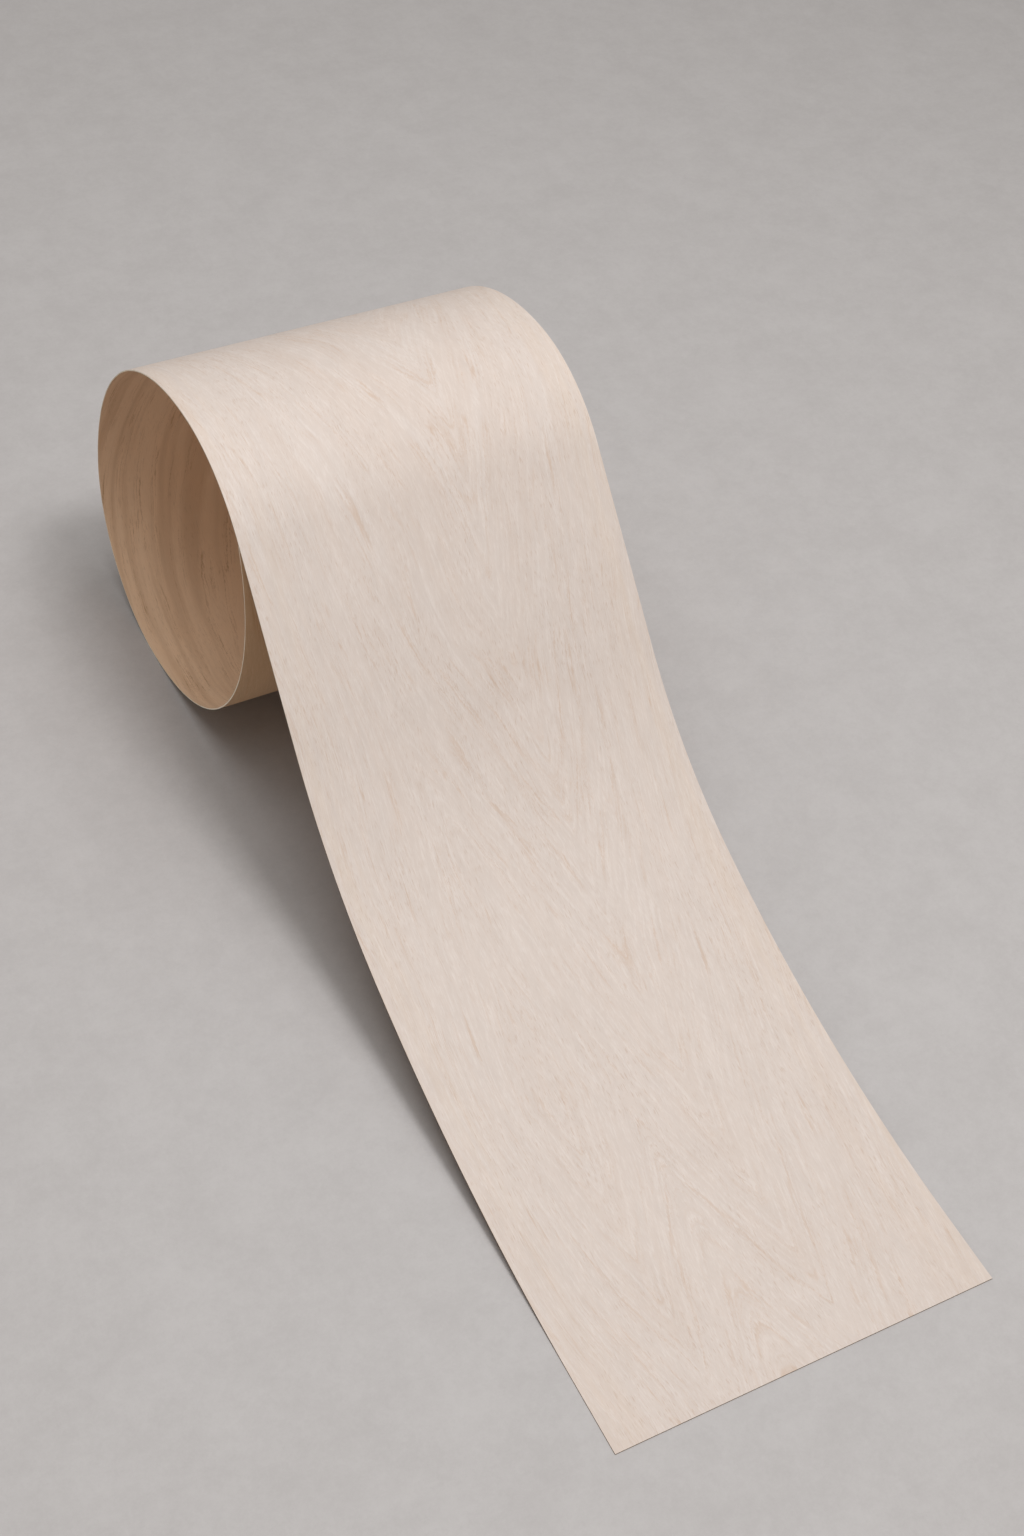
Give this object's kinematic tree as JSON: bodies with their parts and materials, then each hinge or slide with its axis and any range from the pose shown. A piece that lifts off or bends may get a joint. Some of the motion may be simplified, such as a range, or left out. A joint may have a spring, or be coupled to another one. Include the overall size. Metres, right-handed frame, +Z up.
{
  "type": "wood veneer sheet",
  "caption": "Thin sheet of sliced wood veneer that lies flat at its free end, sweeps up and curls over into a loose open roll, ready to be laid and glued as a facing.",
  "frame": {"origin": "on the floor, in the middle of the sheet's footprint", "axes": "+X across the sheet, parallel to the axis of the roll; +Y along the sheet, from its free flat end to the roll; +Z up"},
  "size_m": [0.2, 0.6044, 0.206],
  "materials": {
    "veneer": "raw, matt, whitened straight-grained wood, the grain running along the sheet"
  },
  "bodies": {
    "root": {"veneer_sheet": "veneer"}
  },
  "joints": []
}
